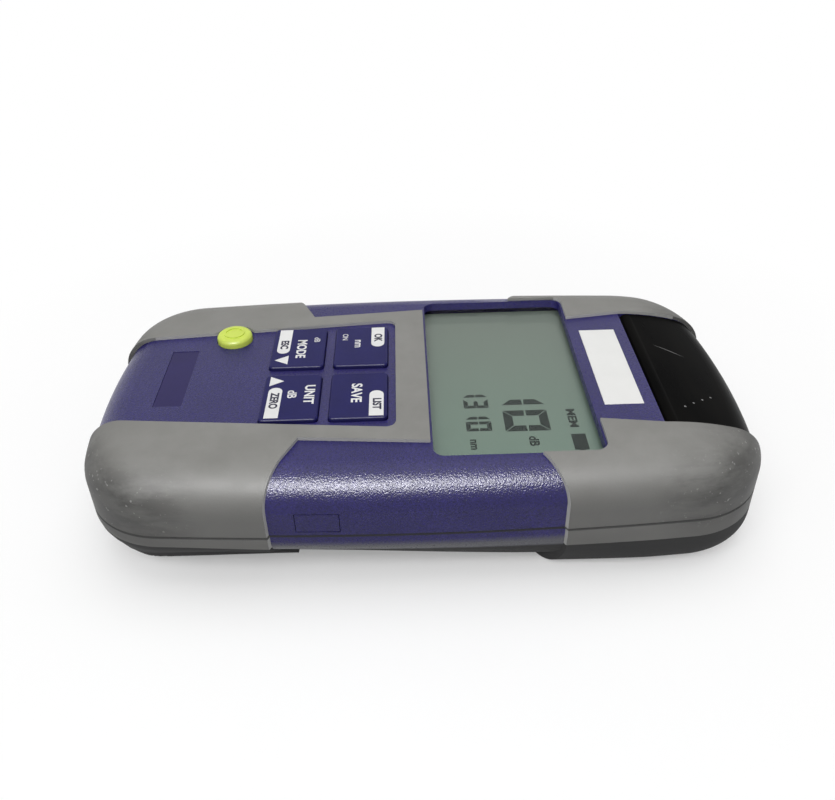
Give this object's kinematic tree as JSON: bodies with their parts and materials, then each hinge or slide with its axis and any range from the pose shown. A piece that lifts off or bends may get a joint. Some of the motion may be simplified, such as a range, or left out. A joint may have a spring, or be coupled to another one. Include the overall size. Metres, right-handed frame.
{
  "type": "optical power meter",
  "caption": "Hand-held optical power meter with display, keypad, corner bumpers, flip-up dust cap over the optical port and a sliding battery cover.",
  "frame": {"origin": "centre of the bounding box at its lowest plane, under the middle of the meter lying on its back", "axes": "+X to the right of someone reading the display, +Y towards the optical port, +Z out of the display"},
  "size_m": [0.0798, 0.1488, 0.0314],
  "materials": {
    "purple_shell": "textured moulded plastic",
    "grey_bumper": "matt moulded elastomer",
    "display_lens": "clear acrylic lens",
    "lcd_glass": "liquid crystal display",
    "lcd_reflector": "diffusing film",
    "black_plastic": "moulded",
    "conductive_rubber": "striped elastomer",
    "key_blue": "satin moulded key",
    "button_green": "satin moulded button",
    "name_plate": "bare film",
    "white_label": "bare film",
    "circuit_board": "solder mask",
    "tinned_steel": "tinned sheet",
    "nickel": "nickel plated",
    "gloss_black": "polished moulded plastic",
    "pin_steel": "plain steel",
    "cell_wrap": "shrink sleeve"
  },
  "bodies": {
    "housing": {"aa_cell_left": "cell_wrap", "aa_cell_right": "cell_wrap", "battery_bridge": "tinned_steel", "battery_contact_left": "tinned_steel", "battery_contact_right": "tinned_steel", "cap_pin": "pin_steel", "case_screws": "pin_steel", "display_window": "display_lens", "front_bumper_lower": "grey_bumper", "front_bumper_upper_left": "grey_bumper", "front_bumper_upper_right": "grey_bumper", "front_housing": "purple_shell", "front_label": "white_label", "lcd_frame": "black_plastic", "lcd_glass": "lcd_glass", "lcd_reflector": "lcd_reflector", "main_board": "circuit_board", "microcontroller": "black_plastic", "name_plate": "name_plate", "optical_adapter": "nickel", "photodiode": "tinned_steel", "preamp_shield": "tinned_steel", "rear_bumper_lower_left": "grey_bumper", "rear_bumper_lower_right": "grey_bumper", "rear_bumper_upper_left": "grey_bumper", "rear_bumper_upper_right": "grey_bumper", "rear_housing": "purple_shell", "switch_lower_left": "black_plastic", "switch_lower_right": "black_plastic", "switch_power": "black_plastic", "switch_upper_left": "black_plastic", "switch_upper_right": "black_plastic", "usb_socket": "tinned_steel", "zebra_strip_lower": "conductive_rubber", "zebra_strip_upper": "conductive_rubber"},
    "key_lower_left": {"key_lower_left": "key_blue"},
    "key_lower_right": {"key_lower_right": "key_blue"},
    "key_upper_left": {"key_upper_left": "key_blue"},
    "key_upper_right": {"key_upper_right": "key_blue"},
    "power_button": {"power_button": "button_green"},
    "dust_cap": {"dust_cap": "gloss_black"},
    "battery_cover": {"battery_cover": "purple_shell"},
    "usb_cover": {"usb_cover": "purple_shell"}
  },
  "joints": [
    {"name": "key_lower_left_press", "type": "slide", "parent": "housing", "child": "key_lower_left", "axis": [0, 0, -1], "range_m": [0, 0.0006], "stiffness_N_per_m": 1200, "springref_m": -0.0003},
    {"name": "key_lower_right_press", "type": "slide", "parent": "housing", "child": "key_lower_right", "axis": [0, 0, -1], "range_m": [0, 0.0006], "stiffness_N_per_m": 1200, "springref_m": -0.0003},
    {"name": "key_upper_left_press", "type": "slide", "parent": "housing", "child": "key_upper_left", "axis": [0, 0, -1], "range_m": [0, 0.0006], "stiffness_N_per_m": 1200, "springref_m": -0.0003},
    {"name": "key_upper_right_press", "type": "slide", "parent": "housing", "child": "key_upper_right", "axis": [0, 0, -1], "range_m": [0, 0.0006], "stiffness_N_per_m": 1200, "springref_m": -0.0003},
    {"name": "power_button_press", "type": "slide", "parent": "housing", "child": "power_button", "axis": [0, 0, -1], "range_m": [0, 0.0006], "stiffness_N_per_m": 1200, "springref_m": -0.0003},
    {"name": "dust_cap_hinge", "type": "hinge", "parent": "housing", "child": "dust_cap", "pos_m": [0, 0.0537, 0.0272], "axis": [1, 0, 0], "range_deg": [0, 90]},
    {"name": "battery_cover_slide", "type": "slide", "parent": "housing", "child": "battery_cover", "axis": [0, -1, 0], "range_m": [0, 0.066]},
    {"name": "usb_cover_hinge", "type": "hinge", "parent": "housing", "child": "usb_cover", "pos_m": [0.0394, -0.0181, 0.0186], "axis": [0, 0, 1], "range_deg": [0, 100]}
  ]
}
